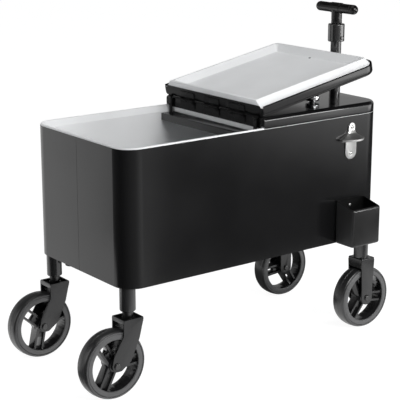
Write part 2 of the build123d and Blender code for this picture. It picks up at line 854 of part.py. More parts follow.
def drain_spout():
    """The drain tube with its flange inside the liner."""
    tube = cylinder(drain_x, drain_y, drain_end, liner_floor, drain_radius)
    flange = cylinder(drain_x, drain_y, liner_floor, liner_floor + 2.5, 15.0)
    flange = chamfer(flange.edges().group_by(Axis.Z)[-1], 1.0)
    spout = tube + flange - cylinder(drain_x, drain_y, -60, 60, drain_bore)
    return local(spout)


def drain_nut():
    """The nut that clamps the spout under the pan."""
    nut = Pos(drain_x, drain_y, 1.0) * extrude(RegularPolygon(14.5, 6), pan_level - 1.0)
    nut -= cylinder(drain_x, drain_y, 0, 20, drain_radius)
    return local(nut)


def drain_cap():
    """The screw cap with grip lobes."""
    low, high = drain_end - 4.0, -9.0
    cap = cylinder(drain_x, drain_y, low, high, 14.5)
    cap = fillet(cap.edges().group_by(Axis.Z)[0], 2.0)
    for count in range(8):
        angle = math.radians(45.0 * count)
        groove_x = drain_x + 16.0 * math.cos(angle)
        groove_y = drain_y + 16.0 * math.sin(angle)
        cap -= cylinder(groove_x, groove_y, low - 1, high - 4, 2.6)
    cap -= cylinder(drain_x, drain_y, drain_end - 0.3, high + 1, drain_radius + 0.06)
    return local(cap)


save("body_wrap", [body_wrap()])
save("bottom_pan", [bottom_pan()])
save("liner", [liner()])
save("insulation", [insulation()])
save("center_bar", [center_bar()])
save("center_bar_screws", center_bar_screws())
save("hinge_posts", hinge_posts())
save("hinge_rod", [hinge_rod()])
save_lids()
save("leg_posts", [leg_post(name) for name in leg_places])
save("leg_bolts", leg_bolts())
save_casters()
save("bottle_opener", [bottle_opener()])
save("opener_screws", [wall_screw(x, z, -side_y - 3.0) for x, z in opener_screw_places()])
save("cap_catcher", [cap_catcher()])
save("catcher_screws", [wall_screw(x, z, -side_y - 1.2) for x, z in catcher_screw_places()])
save("handle_post", [handle_post()])
save("handle_bracket_lower", [handle_bracket(bracket_levels[0])])
save("handle_bracket_upper", [handle_bracket(bracket_levels[1])])
save("bracket_screws", bracket_screws())
save("lock_collar", [lock_collar()])
save("lock_button", [lock_button()])
save("handle_stem", [handle_stem()])
save("handle_grip", [handle_grip()])
save("drain_spout", [drain_spout()])
save("drain_nut", [drain_nut()])
save("drain_cap", [drain_cap()])
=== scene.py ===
import json
import math
import bpy
from mathutils import Matrix, Vector


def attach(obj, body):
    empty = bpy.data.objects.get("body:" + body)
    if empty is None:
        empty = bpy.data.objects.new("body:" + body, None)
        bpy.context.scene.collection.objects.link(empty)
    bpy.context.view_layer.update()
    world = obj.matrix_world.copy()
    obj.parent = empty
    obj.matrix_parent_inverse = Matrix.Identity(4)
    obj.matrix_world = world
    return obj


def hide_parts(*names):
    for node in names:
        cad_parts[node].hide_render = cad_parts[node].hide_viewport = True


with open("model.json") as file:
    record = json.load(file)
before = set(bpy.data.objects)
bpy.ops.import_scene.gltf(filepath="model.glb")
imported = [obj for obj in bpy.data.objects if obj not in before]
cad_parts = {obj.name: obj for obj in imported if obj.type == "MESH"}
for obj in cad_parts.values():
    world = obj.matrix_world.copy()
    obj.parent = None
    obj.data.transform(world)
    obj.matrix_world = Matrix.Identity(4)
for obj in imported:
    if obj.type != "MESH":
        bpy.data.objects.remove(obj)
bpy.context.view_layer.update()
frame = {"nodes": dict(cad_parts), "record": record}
print("frame loaded")

nodes = frame["nodes"]
bodyOf = {node: body for body, held in frame["record"]["behaviour"]["bodies"].items() for node in held}

# the tub's centre in the part's frame, in drawing millimetres
tubPlace = {"x": 19.0, "y": 32.5, "z": 258.5}


def mm(x, y, z):
    # from the drawing's millimetres, heights from the tub's bottom, to the scene's metres
    return Vector(((x + tubPlace["x"]) / 1000, (y + tubPlace["y"]) / 1000, (z + tubPlace["z"]) / 1000))


# finishes: cloud and grain are how fine the soft patches and the texture are, in 1/m, and relief is how
# strongly the texture stands out
finishes = {
    "wrapPaint": {
        "colour": (0.0042, 0.0042, 0.0045), "rough": 0.165, "wander": 0.03,
        "cloud": 9, "grain": 620, "relief": 0.05,
    },
    "lidPaint": {
        "colour": (0.0042, 0.0042, 0.0045), "rough": 0.14, "wander": 0.03,
        "cloud": 9, "grain": 520, "relief": 0.035,
    },
    "fittingPaint": {
        "colour": (0.005, 0.005, 0.0055), "rough": 0.17, "wander": 0.03,
        "cloud": 20, "grain": 900, "relief": 0.05,
    },
    "postPaint": {
        "colour": (0.011, 0.011, 0.0115), "rough": 0.18, "wander": 0.03,
        "cloud": 16, "grain": 800, "relief": 0.05, "ior": 1.75,
    },
    # painted shade: a darker, less glossy copy of the black paint for the hinge parts and the covers' hinge
    # ends
    "hingeShadePaint": {
        "colour": (0.004, 0.004, 0.0042), "rough": 0.26, "wander": 0.04,
        "cloud": 20, "grain": 900, "relief": 0.05, "ior": 1.2,
    },
    "panCoat": {
        "colour": (0.012, 0.012, 0.013), "rough": 0.55, "wander": 0.1,
        "cloud": 12, "grain": 1100, "relief": 0.12,
    },
    "linerMoulding": {
        "colour": (0.74, 0.745, 0.75), "rough": 0.34, "wander": 0.03,
        "cloud": 7, "grain": 1500, "relief": 0.03,
    },
    "trayMoulding": {
        "colour": (0.78, 0.785, 0.79), "rough": 0.34, "wander": 0.02,
        "cloud": 8, "grain": 1600, "relief": 0.03,
    },
    "paleFoam": {
        "colour": (0.70, 0.63, 0.42), "rough": 0.9, "wander": 0.05,
        "cloud": 30, "grain": 500, "relief": 0.5,
    },
    "sealRubber": {
        "colour": (0.002, 0.002, 0.002), "rough": 0.8, "wander": 0.1,
        "cloud": 40, "grain": 1800, "relief": 0.15, "ior": 1.12,
    },
    "gripRubber": {
        "colour": (0.004, 0.004, 0.004), "rough": 0.22, "wander": 0.04,
        "cloud": 40, "grain": 2400, "relief": 0.10,
    },
    # painted sheen: the tyre's side is coloured paler than the tread, standing in for the light it catches
    "tyreSheenRubber": {
        "colour": (0.075, 0.075, 0.076), "rough": 0.42, "wander": 0.06,
        "cloud": 24, "grain": 2200, "relief": 0.18,
    },
    "treadRubber": {
        "colour": (0.02, 0.02, 0.0205), "rough": 0.30, "wander": 0.05,
        "cloud": 24, "grain": 2200, "relief": 0.16, "ior": 1.7,
    },
    "catcherPaint": {
        "colour": (0.012, 0.012, 0.012), "rough": 0.24, "wander": 0.03,
        "cloud": 20, "grain": 900, "relief": 0.04, "ior": 1.45,
    },
    # painted shade: a near-black, matt coat for the catcher's inside, standing in for the shade in the box
    "catcherPaintedShade": {
        "colour": (0.003, 0.003, 0.003), "rough": 0.6, "wander": 0.05,
        "cloud": 20, "grain": 900, "relief": 0.04, "ior": 1.2,
    },
    # painted sheen: a paler, rougher coat for the catcher's two outer sides, standing in for the light they
    # catch
    "catcherSidePaintedSheen": {
        "colour": (0.02, 0.02, 0.0205), "rough": 0.46, "wander": 0.05,
        "cloud": 20, "grain": 900, "relief": 0.05,
    },
    # painted shade: near-black and matt, for the strip that darkens the wrap's seam gap
    "seamPaintedShade": {
        "colour": (0.002, 0.002, 0.002), "rough": 0.9, "wander": 0.05,
        "cloud": 60, "grain": 1500, "relief": 0.1,
    },
    "forkMoulding": {
        "colour": (0.011, 0.011, 0.0115), "rough": 0.22, "wander": 0.04,
        "cloud": 22, "grain": 2600, "relief": 0.08, "ior": 1.6,
    },
    "wheelMoulding": {
        "colour": (0.009, 0.009, 0.0095), "rough": 0.20, "wander": 0.04,
        "cloud": 22, "grain": 2600, "relief": 0.08, "ior": 1.65,
    },
    # painted sheen: the wheels' outer flanges are coloured paler, standing in for the light on their
    # outward faces
    "rimSheenMoulding": {
        "colour": (0.075, 0.075, 0.076), "rough": 0.34, "wander": 0.06,
        "cloud": 22, "grain": 2400, "relief": 0.14, "ior": 1.6,
    },
    "collarMoulding": {
        "colour": (0.010, 0.010, 0.010), "rough": 0.16, "wander": 0.03,
        "cloud": 30, "grain": 2400, "relief": 0.08, "ior": 1.9,
    },
    "darkNylon": {
        "colour": (0.03, 0.03, 0.031), "rough": 0.5, "wander": 0.08,
        "cloud": 30, "grain": 2600, "relief": 0.1,
    },
    "zincPlate": {
        "colour": (0.62, 0.62, 0.61), "metal": 1.0, "rough": 0.28, "wander": 0.1,
        "cloud": 60, "grain": 1500, "relief": 0.06,
    },
    "darkBolt": {
        "colour": (0.10, 0.10, 0.10), "metal": 1.0, "rough": 0.36, "wander": 0.1,
        "cloud": 60, "grain": 1500, "relief": 0.08,
    },
    "platedCasting": {
        "colour": (0.54, 0.54, 0.535), "metal": 1.0, "rough": 0.40, "wander": 0.04,
        "cloud": 30, "grain": 900, "relief": 0.05,
    },
    "knobChrome": {
        "colour": (0.62, 0.62, 0.63), "metal": 1.0, "rough": 0.09, "wander": 0.04,
        "cloud": 30, "grain": 600, "relief": 0.015,
    },
    "stemSteel": {
        "colour": (0.06, 0.06, 0.062), "metal": 1.0, "rough": 0.26, "wander": 0.08,
        "cloud": 30, "grain": 1200, "relief": 0.05,
    },
}


# what the finishes share: depth is the bump's full height in metres
finishBase = {
    "cloudDetail": 2.0, "cloudRough": 0.45, "driftFrom": (0.3, 0.7), "shades": (0.9, 1.1),
    "coarser": 4, "coarseDetail": 2.0, "fineDetail": 3.0, "coarseShare": 0.6, "depth": 0.0004,
}


def noiseNode(tree, place, scale, detail):
    noise = tree.nodes.new("ShaderNodeTexNoise")
    noise.inputs["Scale"].default_value = scale
    noise.inputs["Detail"].default_value = detail
    tree.links.new(place.outputs["Object"], noise.inputs["Vector"])
    return noise


def makeFinish(name, look):
    material = bpy.data.materials.new(name)
    material.use_nodes = True
    tree = material.node_tree
    shader = tree.nodes["Principled BSDF"]
    shader.inputs["Metallic"].default_value = look.get("metal", 0.0)
    shader.inputs["IOR"].default_value = look.get("ior", 1.5)
    place = tree.nodes.new("ShaderNodeTexCoord")
    cloud = noiseNode(tree, place, look["cloud"], finishBase["cloudDetail"])
    cloud.inputs["Roughness"].default_value = finishBase["cloudRough"]
    # roughness drifts in soft patches, as paint and mouldings do
    drift = tree.nodes.new("ShaderNodeMapRange")
    drift.inputs["From Min"].default_value, drift.inputs["From Max"].default_value = finishBase["driftFrom"]
    drift.inputs["To Min"].default_value = look["rough"] - look["wander"]
    drift.inputs["To Max"].default_value = look["rough"] + look["wander"]
    tree.links.new(cloud.outputs["Fac"], drift.inputs["Value"])
    tree.links.new(drift.outputs["Result"], shader.inputs["Roughness"])
    # the colour moves a little with the same patches
    shade = tree.nodes.new("ShaderNodeMixRGB")
    for socket, share in zip(("Color1", "Color2"), finishBase["shades"]):
        shade.inputs[socket].default_value = (*[min(1.0, share * part) for part in look["colour"]], 1)
    tree.links.new(cloud.outputs["Fac"], shade.inputs["Fac"])
    tree.links.new(shade.outputs["Color"], shader.inputs["Base Color"])
    # a coarse and a fine grain raise the surface: orange peel on paint, texture on mouldings
    coarse = noiseNode(tree, place, look["grain"] / finishBase["coarser"], finishBase["coarseDetail"])
    fine = noiseNode(tree, place, look["grain"], finishBase["fineDetail"])
    blend = tree.nodes.new("ShaderNodeMath")
    blend.operation = "MULTIPLY_ADD"
    blend.inputs[1].default_value = finishBase["coarseShare"]
    tree.links.new(coarse.outputs["Fac"], blend.inputs[0])
    tree.links.new(fine.outputs["Fac"], blend.inputs[2])
    bump = tree.nodes.new("ShaderNodeBump")
    bump.inputs["Strength"].default_value = look["relief"]
    bump.inputs["Distance"].default_value = finishBase["depth"]
    tree.links.new(blend.outputs["Value"], bump.inputs["Height"])
    tree.links.new(bump.outputs["Normal"], shader.inputs["Normal"])
    return material


finish = {name: makeFinish(name, look) for name, look in finishes.items()}

legs = ("front_left", "rear_left", "front_right", "rear_right")

# which finish each node of the frame takes
nodeFinish = {
    "body_wrap": "wrapPaint", "bottom_pan": "panCoat", "liner": "linerMoulding", "insulation": "paleFoam",
    "center_bar": "fittingPaint", "center_bar_screws": "zincPlate", "hinge_posts": "hingeShadePaint",
    "hinge_rod": "hingeShadePaint", "leg_posts": "postPaint", "leg_bolts": "darkBolt",
    "bottle_opener": "platedCasting", "opener_screws": "zincPlate", "cap_catcher": "catcherPaint",
    "catcher_screws": "zincPlate", "handle_post": "postPaint", "handle_bracket_lower": "fittingPaint",
    "handle_bracket_upper": "fittingPaint", "bracket_screws": "zincPlate", "lock_collar": "collarMoulding",
    "drain_spout": "fittingPaint", "drain_nut": "fittingPaint", "drain_cap": "fittingPaint",
    "handle_stem": "stemSteel", "handle_grip": "gripRubber", "lock_button": "collarMoulding",
}
for side in ("right", "left"):
    nodeFinish[side + "_lid_shell"] = "lidPaint"
    nodeFinish[side + "_lid_panel"] = "trayMoulding"
    nodeFinish[side + "_lid_foam"] = "paleFoam"
    nodeFinish[side + "_lid_seal"] = "sealRubber"
    nodeFinish[side + "_lid_knobs"] = "knobChrome"
    nodeFinish[side + "_hinge_leaves"] = "hingeShadePaint"
for leg in legs:
    nodeFinish[leg + "_fork"] = "forkMoulding"
    nodeFinish[leg + "_wheel"] = "wheelMoulding"
    nodeFinish[leg + "_tyre"] = "tyreSheenRubber"
    nodeFinish[leg + "_bushes"] = "darkNylon"
    nodeFinish[leg + "_axle"] = "darkBolt"
    nodeFinish[leg + "_swivel_stem"] = "darkBolt"

for name, node in nodes.items():
    look = finish[nodeFinish[name]]
    if not node.material_slots:
        node.data.materials.append(look)
    for slot in node.material_slots:
        slot.material = look
print("finishes set on", len(nodes), "nodes")


def pickOnly(thing):
    bpy.ops.object.select_all(action="DESELECT")
    thing.select_set(True)
    bpy.context.view_layer.objects.active = thing


def dress(piece, look, angle=35):
    # smooth shading up to an angle, and one finish
    pickOnly(piece)
    bpy.ops.object.shade_smooth_by_angle(angle=math.radians(angle))
    piece.data.materials.clear()
    piece.data.materials.append(finish[look])


def standFor(piece, nodeName, angle=35):
    # the piece is shown in the node's place, in its finish and on its body
    dress(piece, nodeFinish[nodeName], angle)
    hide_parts(nodeName)
    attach(piece, bodyOf[nodeName])
    return piece


# how near two points of a copied mesh are one, in metres, and up to how many degrees two faces are one
copyMerge = {"near": 0.00002, "flat": 0.6}
# a face looks along an axis where that part of its normal is more than this
facesAlong = 0.9


def nodeCopy(nodeName, pieceName):
    # a node's mesh as a new piece, with its loose triangles merged and its flat faces joined
    piece = bpy.data.objects.new(pieceName, nodes[nodeName].data.copy())
    bpy.context.scene.collection.objects.link(piece)
    pickOnly(piece)
    bpy.ops.object.mode_set(mode="EDIT")
    bpy.ops.mesh.select_all(action="SELECT")
    bpy.ops.mesh.remove_doubles(threshold=copyMerge["near"])
    bpy.ops.mesh.dissolve_limited(angle_limit=math.radians(copyMerge["flat"]))
    bpy.ops.object.mode_set(mode="OBJECT")
    return piece


def roundEdges(piece, width, steps=2, angle=38):
    # real pressings, castings and mouldings have no knife edges
    pickOnly(piece)
    edge = piece.modifiers.new("edgeRound", "BEVEL")
    edge.width = width / 1000
    edge.segments = steps
    edge.limit_method = "ANGLE"
    edge.angle_limit = math.radians(angle)
    edge.use_clamp_overlap = True
    bpy.ops.object.modifier_apply(modifier="edgeRound")


def turned(pieceName, profile, around=48, way="Z", place=(0, 0, 0)):
    # a round piece turned along its axis: the profile is a list of (radius, distance along the axis) in mm
    bpy.ops.object.select_all(action="DESELECT")
    radius, level = profile[0]
    bpy.ops.mesh.primitive_circle_add(
        vertices=around, radius=radius / 1000, fill_type="NGON", location=(0, 0, level / 1000))
    piece = bpy.context.object
    piece.name = pieceName
    bpy.ops.object.transform_apply(location=True, rotation=True, scale=True)
    bpy.ops.object.mode_set(mode="EDIT")
    bpy.ops.mesh.select_all(action="SELECT")
    for newRadius, newLevel in profile[1:]:
        rise = (newLevel - level) / 1000
        bpy.ops.mesh.extrude_region_move(TRANSFORM_OT_translate={"value": (0, 0, rise)})
        bpy.ops.transform.resize(
            value=(newRadius / radius, newRadius / radius, 1), center_override=(0, 0, newLevel / 1000))
        radius, level = newRadius, newLevel
    bpy.ops.mesh.select_all(action="SELECT")
    bpy.ops.mesh.normals_make_consistent(inside=False)
    bpy.ops.object.mode_set(mode="OBJECT")
    turns = {"Z": (0, 0, 0), "Y": (-math.pi / 2, 0, 0)}
    piece.rotation_euler = turns[way]
    piece.location = place
    pickOnly(piece)
    bpy.ops.object.transform_apply(location=True, rotation=True, scale=True)
    return piece


def copyPiece(piece, name, shift=(0, 0, 0)):
    # a further one of the same piece, with a mesh of its own
    twin = bpy.data.objects.new(name, piece.data.copy())
    bpy.context.scene.collection.objects.link(twin)
    twin.data.transform(Matrix.Translation(shift))
    return twin


def cubeScaled(size, place=(0, 0, 0), turn=0.0):
    # a block of a size in metres, turned about the upright
    bpy.ops.object.select_all(action="DESELECT")
    bpy.ops.mesh.primitive_cube_add(size=1, location=place)
    block = bpy.context.object
    block.scale = size
    block.rotation_euler = (0, 0, math.radians(turn))
    pickOnly(block)
    bpy.ops.object.transform_apply(location=True, rotation=True, scale=True)
    return block


def joinPieces(pieces, name):
    bpy.ops.object.select_all(action="DESELECT")
    for piece in pieces:
        piece.select_set(True)
    bpy.context.view_layer.objects.active = pieces[0]
    bpy.ops.object.join()
    whole = bpy.context.object
    whole.name = name
    return whole


def cutAway(piece, cutter):
    # takes the cutter's form out of the piece, and removes the cutter
    pickOnly(piece)
    cut = piece.modifiers.new("recess", "BOOLEAN")
    cut.operation = "DIFFERENCE"
    cut.solver = "EXACT"
    cut.object = cutter
    bpy.ops.object.modifier_apply(modifier="recess")
    bpy.data.objects.remove(cutter, do_unlink=True)


# softened pressings, castings and mouldings: how wide each one's rounded edges are, in mm
edgeWidths = {
    "bottle_opener": {"name": "openerCasting", "width": 0.7, "steps": 3},
    "right_lid_panel": {"name": "trayRight", "width": 1.1, "steps": 2},
    "left_lid_panel": {"name": "trayLeft", "width": 1.1, "steps": 2},
    "right_hinge_leaves": {"name": "leavesRight", "width": 0.4, "steps": 1},
    "left_hinge_leaves": {"name": "leavesLeft", "width": 0.4, "steps": 1},
    "center_bar": {"name": "hingeBar", "width": 0.5, "steps": 2},
    "hinge_posts": {"name": "hingeUprights", "width": 0.4, "steps": 2},
    "handle_bracket_lower": {"name": "lowerSaddle", "width": 0.8, "steps": 2},
    "handle_bracket_upper": {"name": "upperSaddle", "width": 0.8, "steps": 2},
    "leg_bolts": {"name": "flangeBolts", "width": 0.5, "steps": 2},
    "drain_nut": {"name": "drainNut", "width": 0.5, "steps": 2},
    "drain_cap": {"name": "drainCap", "width": 0.5, "steps": 2},
    "lock_button": {"name": "lockButton", "width": 0.4, "steps": 2},
}
legEdges = {"fork": {"width": 1.3, "steps": 3}, "wheel": {"width": 1.0, "steps": 2}}


def legTail(leg):
    return leg.title().replace("_", "")


for part, edge in legEdges.items():
    for leg in legs:
        edgeWidths[leg + "_" + part] = {"name": part + legTail(leg), **edge}
for nodeName, edge in edgeWidths.items():
    softPiece = nodeCopy(nodeName, edge["name"])
    roundEdges(softPiece, edge["width"], edge["steps"])
    standFor(softPiece, nodeName)
print("softened", len(edgeWidths), "fittings")


# tyre: square tread with a fine parting line, a step at the shoulder, and a bulging side that meets the
# rim; its outline is a list of (distance along the axle, radius) in mm
tyreShape = {
    "crown": [(0.0, 82.0), (0.35, 81.98), (0.55, 81.7), (6.0, 81.6), (12.0, 81.0)],
    "shoulderCentre": (12.0, 76.0), "shoulderRadius": 5.0, "shoulderTurns": (20, 35, 50, 62),
    "side": [
        (16.9, 77.9), (17.5, 77.7), (18.1, 78.2), (18.8, 78.5), (19.7, 78.1), (20.4, 77.4), (20.75, 76.5),
        (20.6, 75.6), (20.1, 74.9), (19.2, 74.65), (17.2, 74.6), (15.4, 68.1),
    ],
    "around": 128, "merge": 0.00001, "tread": {"half": 17.5, "low": 76.0, "coat": "treadRubber"},
    "hubs": {
        "front_left": (-410.0, -161.5), "rear_left": (-410.0, 161.5),
        "front_right": (372.0, -161.5), "rear_right": (372.0, 161.5),
    },
    "radius": 82.0,
}
# the wheel's outer flange: its least distance from the wheel's middle, its least radius, and the least part
# of its normal that looks outward
flangeShape = {"aside": 17.0, "low": 61.2, "outward": 0.3, "coat": "rimSheenMoulding"}


def tyreHalfProfile(shape):
    # from the tread's middle round one shoulder to the seat
    points = list(shape["crown"])
    centre, level = shape["shoulderCentre"]
    reach = shape["shoulderRadius"]
    for turn in shape["shoulderTurns"]:
        angle = math.radians(turn)
        points.append((centre + reach * math.sin(angle), level + reach * math.cos(angle)))
    return points + shape["side"]


def buildTyre(shape):
    half = tyreHalfProfile(shape)
    ring = half + [(-y, radius) for y, radius in reversed(half[1:])]
    bpy.ops.object.select_all(action="DESELECT")
    bpy.ops.mesh.primitive_circle_add(vertices=len(ring), radius=shape["radius"] / 1000, location=(0, 0, 0))
    tyre = bpy.context.object
    for vertex, (y, radius) in zip(tyre.data.vertices, ring):
        vertex.co = (0, y / 1000, radius / 1000)
    bpy.ops.object.mode_set(mode="EDIT")
    bpy.ops.mesh.select_all(action="SELECT")
    bpy.ops.mesh.spin(steps=shape["around"], angle=2 * math.pi, center=(0, 0, 0), axis=(0, 1, 0))
    bpy.ops.mesh.select_all(action="SELECT")
    bpy.ops.mesh.remove_doubles(threshold=shape["merge"])
    bpy.ops.mesh.normals_make_consistent(inside=False)
    bpy.ops.object.mode_set(mode="OBJECT")
    return tyre


def coatTread(tyre, hub, tread):
    # the tread has a darker rubber than the side, whose paler colour is painted sheen
    tyre.data.materials.append(finish[tread["coat"]])
    for face in tyre.data.polygons:
        aside = abs(face.center.y - hub.y) * 1000
        out = math.hypot(face.center.x - hub.x, face.center.z - hub.z) * 1000
        if aside < tread["half"] and out > tread["low"]:
            face.material_index = 1


def coatFlange(wheel, hub, flange):
    # the wheel's outer flange is coloured paler than its spokes: painted sheen for the light on its outward
    # face
    wheel.data.materials.append(finish[flange["coat"]])
    for face in wheel.data.polygons:
        corners = [wheel.data.vertices[corner].co - hub for corner in face.vertices]
        aside = min(abs(corner.y) for corner in corners) * 1000
        out = min(math.hypot(corner.x, corner.z) for corner in corners) * 1000
        outward = abs(face.normal.y) > flange["outward"]
        if outward and aside > flange["aside"] and out > flange["low"]:
            face.material_index = 1


tyrePattern = buildTyre(tyreShape)
for leg, (x, y) in tyreShape["hubs"].items():
    hub = mm(x, y, tyreShape["radius"] - tubPlace["z"])
    tyre = standFor(copyPiece(tyrePattern, "tyre_" + leg, hub), leg + "_tyre", angle=40)
    coatTread(tyre, hub, tyreShape["tread"])
    coatFlange(bpy.data.objects["wheel" + legTail(leg)], hub, flangeShape)
bpy.data.objects.remove(tyrePattern, do_unlink=True)
print("tyres turned")


# cap catcher: folded sheet box, its rim cut down to the front; faces that look up by more than openUp are
# left out, which opens it
catcherShape = {
    "x": 288.0, "wall": -197.0, "depth": 65.0, "width": 94.0, "rear": 113.0, "front": 97.5, "corner": 6.5,
    "cornerSteps": 7, "openUp": 0.8, "sheet": 1.2, "edgeRound": 0.4,
}
# its inside has a near-black coat, painted shade, on all faces larger than its rounded edges (in square
# metres), and its two sides have a coarser, paler one, whose paleness is painted sheen
catcherCoats = {"inside": "catcherPaintedShade", "leastArea": 0.00002, "sides": "catcherSidePaintedSheen"}


def buildCatcher(shape):
    bpy.ops.object.select_all(action="DESELECT")
    bpy.ops.mesh.primitive_cube_add(size=1, location=(0, 0, 0))
    box = bpy.context.object
    for vertex in box.data.vertices:
        rear = vertex.co.y > 0
        high = shape["rear"] if rear else shape["front"]
        vertex.co = (
            vertex.co.x * shape["width"] / 1000,
            0.0 if rear else -shape["depth"] / 1000,
            high / 1000 if vertex.co.z > 0 else 0.0,
        )
    # the two upright bends at the front
    for edge in box.data.edges:
        first, second = [box.data.vertices[end].co for end in edge.vertices]
        upright = first.x == second.x and first.y == second.y
        edge.select = upright and first.y < 0
    bpy.ops.object.mode_set(mode="EDIT")
    bpy.ops.mesh.select_mode(type="EDGE")
    bpy.ops.mesh.bevel(offset=shape["corner"] / 1000, segments=shape["cornerSteps"])
    bpy.ops.mesh.select_mode(type="FACE")
    bpy.ops.mesh.select_all(action="DESELECT")
    bpy.ops.object.mode_set(mode="OBJECT")
    for face in box.data.polygons:
        face.select = face.normal.z > shape["openUp"]
    bpy.ops.object.mode_set(mode="EDIT")
    bpy.ops.mesh.delete(type="FACE")
    bpy.ops.object.mode_set(mode="OBJECT")
    sheet = box.modifiers.new("sheet", "SOLIDIFY")
    sheet.thickness = shape["sheet"] / 1000
    sheet.offset = -1
    bpy.ops.object.modifier_apply(modifier="sheet")
    roundEdges(box, shape["edgeRound"], angle=50)
    box.data.transform(Matrix.Translation(mm(shape["x"], shape["wall"], 0)))
    box.name = "catcherBox"
    return box


def coatCatcher(box, shape, coats):
    box.data.materials.append(finish[coats["inside"]])
    box.data.materials.append(finish[coats["sides"]])
    middle = mm(shape["x"], shape["wall"] - shape["depth"] / 2, shape["front"] / 2)
    for face in box.data.polygons:
        inward = face.normal.dot(middle - face.center) > 0
        # the inside faces take the painted shade
        if inward and face.area > coats["leastArea"]:
            face.material_index = 1
        # the two outer sides take the painted sheen
        elif abs(face.normal.x) > facesAlong:
            face.material_index = 2


coatCatcher(standFor(buildCatcher(catcherShape), "cap_catcher", angle=30), catcherShape, catcherCoats)


# seam: a near-black strip lies in the gap where the wrap's ends meet, as painted shade for the dark seam
seamShape = {
    "x": -390.0, "deep": 0.5, "thick": 0.7, "wide": 0.8, "low": 1.0, "high": 306.0, "edgeRound": 0.15,
}


def buildSeam(shape):
    tall = shape["high"] - shape["low"]
    bead = cubeScaled((shape["thick"] / 1000, shape["wide"] / 1000, tall / 1000))
    middle = mm(shape["x"] + shape["deep"] + shape["thick"] / 2, 0, shape["low"] + tall / 2)
    bead.data.transform(Matrix.Translation(middle))
    bead.name = "seamShadeStrip"
    roundEdges(bead, shape["edgeRound"], angle=50)
    return bead


seamShadeStrip = buildSeam(seamShape)
dress(seamShadeStrip, "seamPaintedShade")
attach(seamShadeStrip, "tub")
print("catcher and seam made")


# screw: pan head with a cross recess, its shank hidden in the wall
screwShape = {
    "profile": [
        (2.0, -14.0), (2.0, -0.05), (3.9, 0.0), (4.2, 0.3), (4.2, 0.7), (3.7, 1.5), (2.8, 2.1), (1.4, 2.4),
    ],
    "rise": 2.4, "crossLong": 4.4, "crossWide": 0.95, "crossDeep": 1.5, "crossOver": 0.6,
    "turn": 18, "nextTurn": 37, "edgeRound": 0.12,
}
# where they sit: (x, z) of each, and how far forward the face is that their heads lie on
screwRows = {
    "opener_screws": {"name": "openerScrews", "places": [(287.0, 292.0), (285.0, 226.0)], "face": -200.0},
    "catcher_screws": {"name": "catcherScrews", "places": [(288.0, 93.0), (288.0, 26.0)], "face": -198.2},
}


def buildScrew(shape):
    # drawn upright with its seat at the origin; the recess's blades reach past the head
    screw = turned("screwPattern", shape["profile"], around=40)
    over = shape["crossOver"]
    bladeSize = (shape["crossLong"] / 1000, shape["crossWide"] / 1000, (shape["crossDeep"] + over) / 1000)
    bladeLevel = (shape["rise"] - shape["crossDeep"] / 2 + over / 2) / 1000
    for turn in (0, 90):
        cutAway(screw, cubeScaled(bladeSize, (0, 0, bladeLevel), turn + shape["turn"]))
    roundEdges(screw, shape["edgeRound"], steps=1, angle=50)
    return screw


screwPattern = buildScrew(screwShape)
layForward = Matrix.Rotation(math.radians(90), 4, "X")
for nodeName, row in screwRows.items():
    screws = []
    for count, (x, z) in enumerate(row["places"]):
        screw = copyPiece(screwPattern, row["name"] + str(count))
        screw.data.transform(Matrix.Rotation(math.radians(screwShape["nextTurn"] * count), 4, "Z"))
        screw.data.transform(Matrix.Translation(mm(x, row["face"], z)) @ layForward)
        screws.append(screw)
    standFor(joinPieces(screws, row["name"]), nodeName, angle=30)
bpy.data.objects.remove(screwPattern, do_unlink=True)
print("screws made")


# lid knob: flared foot, neck, rim with a fine groove, and a domed end; its outline is a list of (radius,
# height) in mm, and restTilt is how far the lid that lies turned over leans
knobShape = {
    "profile": [
        (9.6, 0.0), (9.6, 0.5), (8.2, 1.6), (7.5, 3.2), (7.6, 4.2), (15.6, 4.5), (17.2, 5.2), (17.9, 6.6),
        (18.0, 8.4), (17.55, 8.7), (17.55, 9.3), (18.0, 9.6), (18.0, 15.2), (17.6, 16.8), (16.6, 18.1),
        (15.0, 19.0), (12.5, 19.9), (9.5, 20.6), (6.0, 21.15), (3.0, 21.4), (1.0, 21.48),
    ],
    "x": 233.0, "y": 111.0, "lidTop": 348.0, "restTilt": 10.8,
}
knobPattern = turned("knobPattern", knobShape["profile"], around=72)
lidSwing = (
    Matrix.Translation(mm(0, 0, knobShape["lidTop"]))
    @ Matrix.Rotation(math.radians(180.0 - knobShape["restTilt"]), 4, "Y")
    @ Matrix.Translation(-mm(0, 0, knobShape["lidTop"]))
)
for side, way in (("right", 1), ("left", -1)):
    pair = []
    for end in (-1, 1):
        place = mm(way * knobShape["x"], end * knobShape["y"], knobShape["lidTop"])
        knob = copyPiece(knobPattern, side + "Knob" + str(end), place)
        if side == "left":
            knob.data.transform(lidSwing)
        pair.append(knob)
    standFor(joinPieces(pair, side + "LidKnobs"), side + "_lid_knobs", angle=30)
bpy.data.objects.remove(knobPattern, do_unlink=True)
print("knobs turned")


# lid edge: the cover's folded hem, and a gasket that sits on the rim with a thin lip outside it
edgeShape = {
    "right": 390.0, "half": 197.0, "corner": 48.0, "steps": 10,
    "gasket": [
        {"inset": 1.0, "low": 323.8, "high": 326.4, "thick": 4.3, "hinge": 26.0},
        {"inset": 0.35, "low": 321.1, "high": 324.0, "thick": 0.5, "hinge": 6.0},
    ],
    "hem": [{"inset": 0.0, "low": 323.9, "high": 326.6, "thick": 0.9, "hinge": 6.0}],
    "hingeSide": 60.0, "edgeRound": 0.2,
}


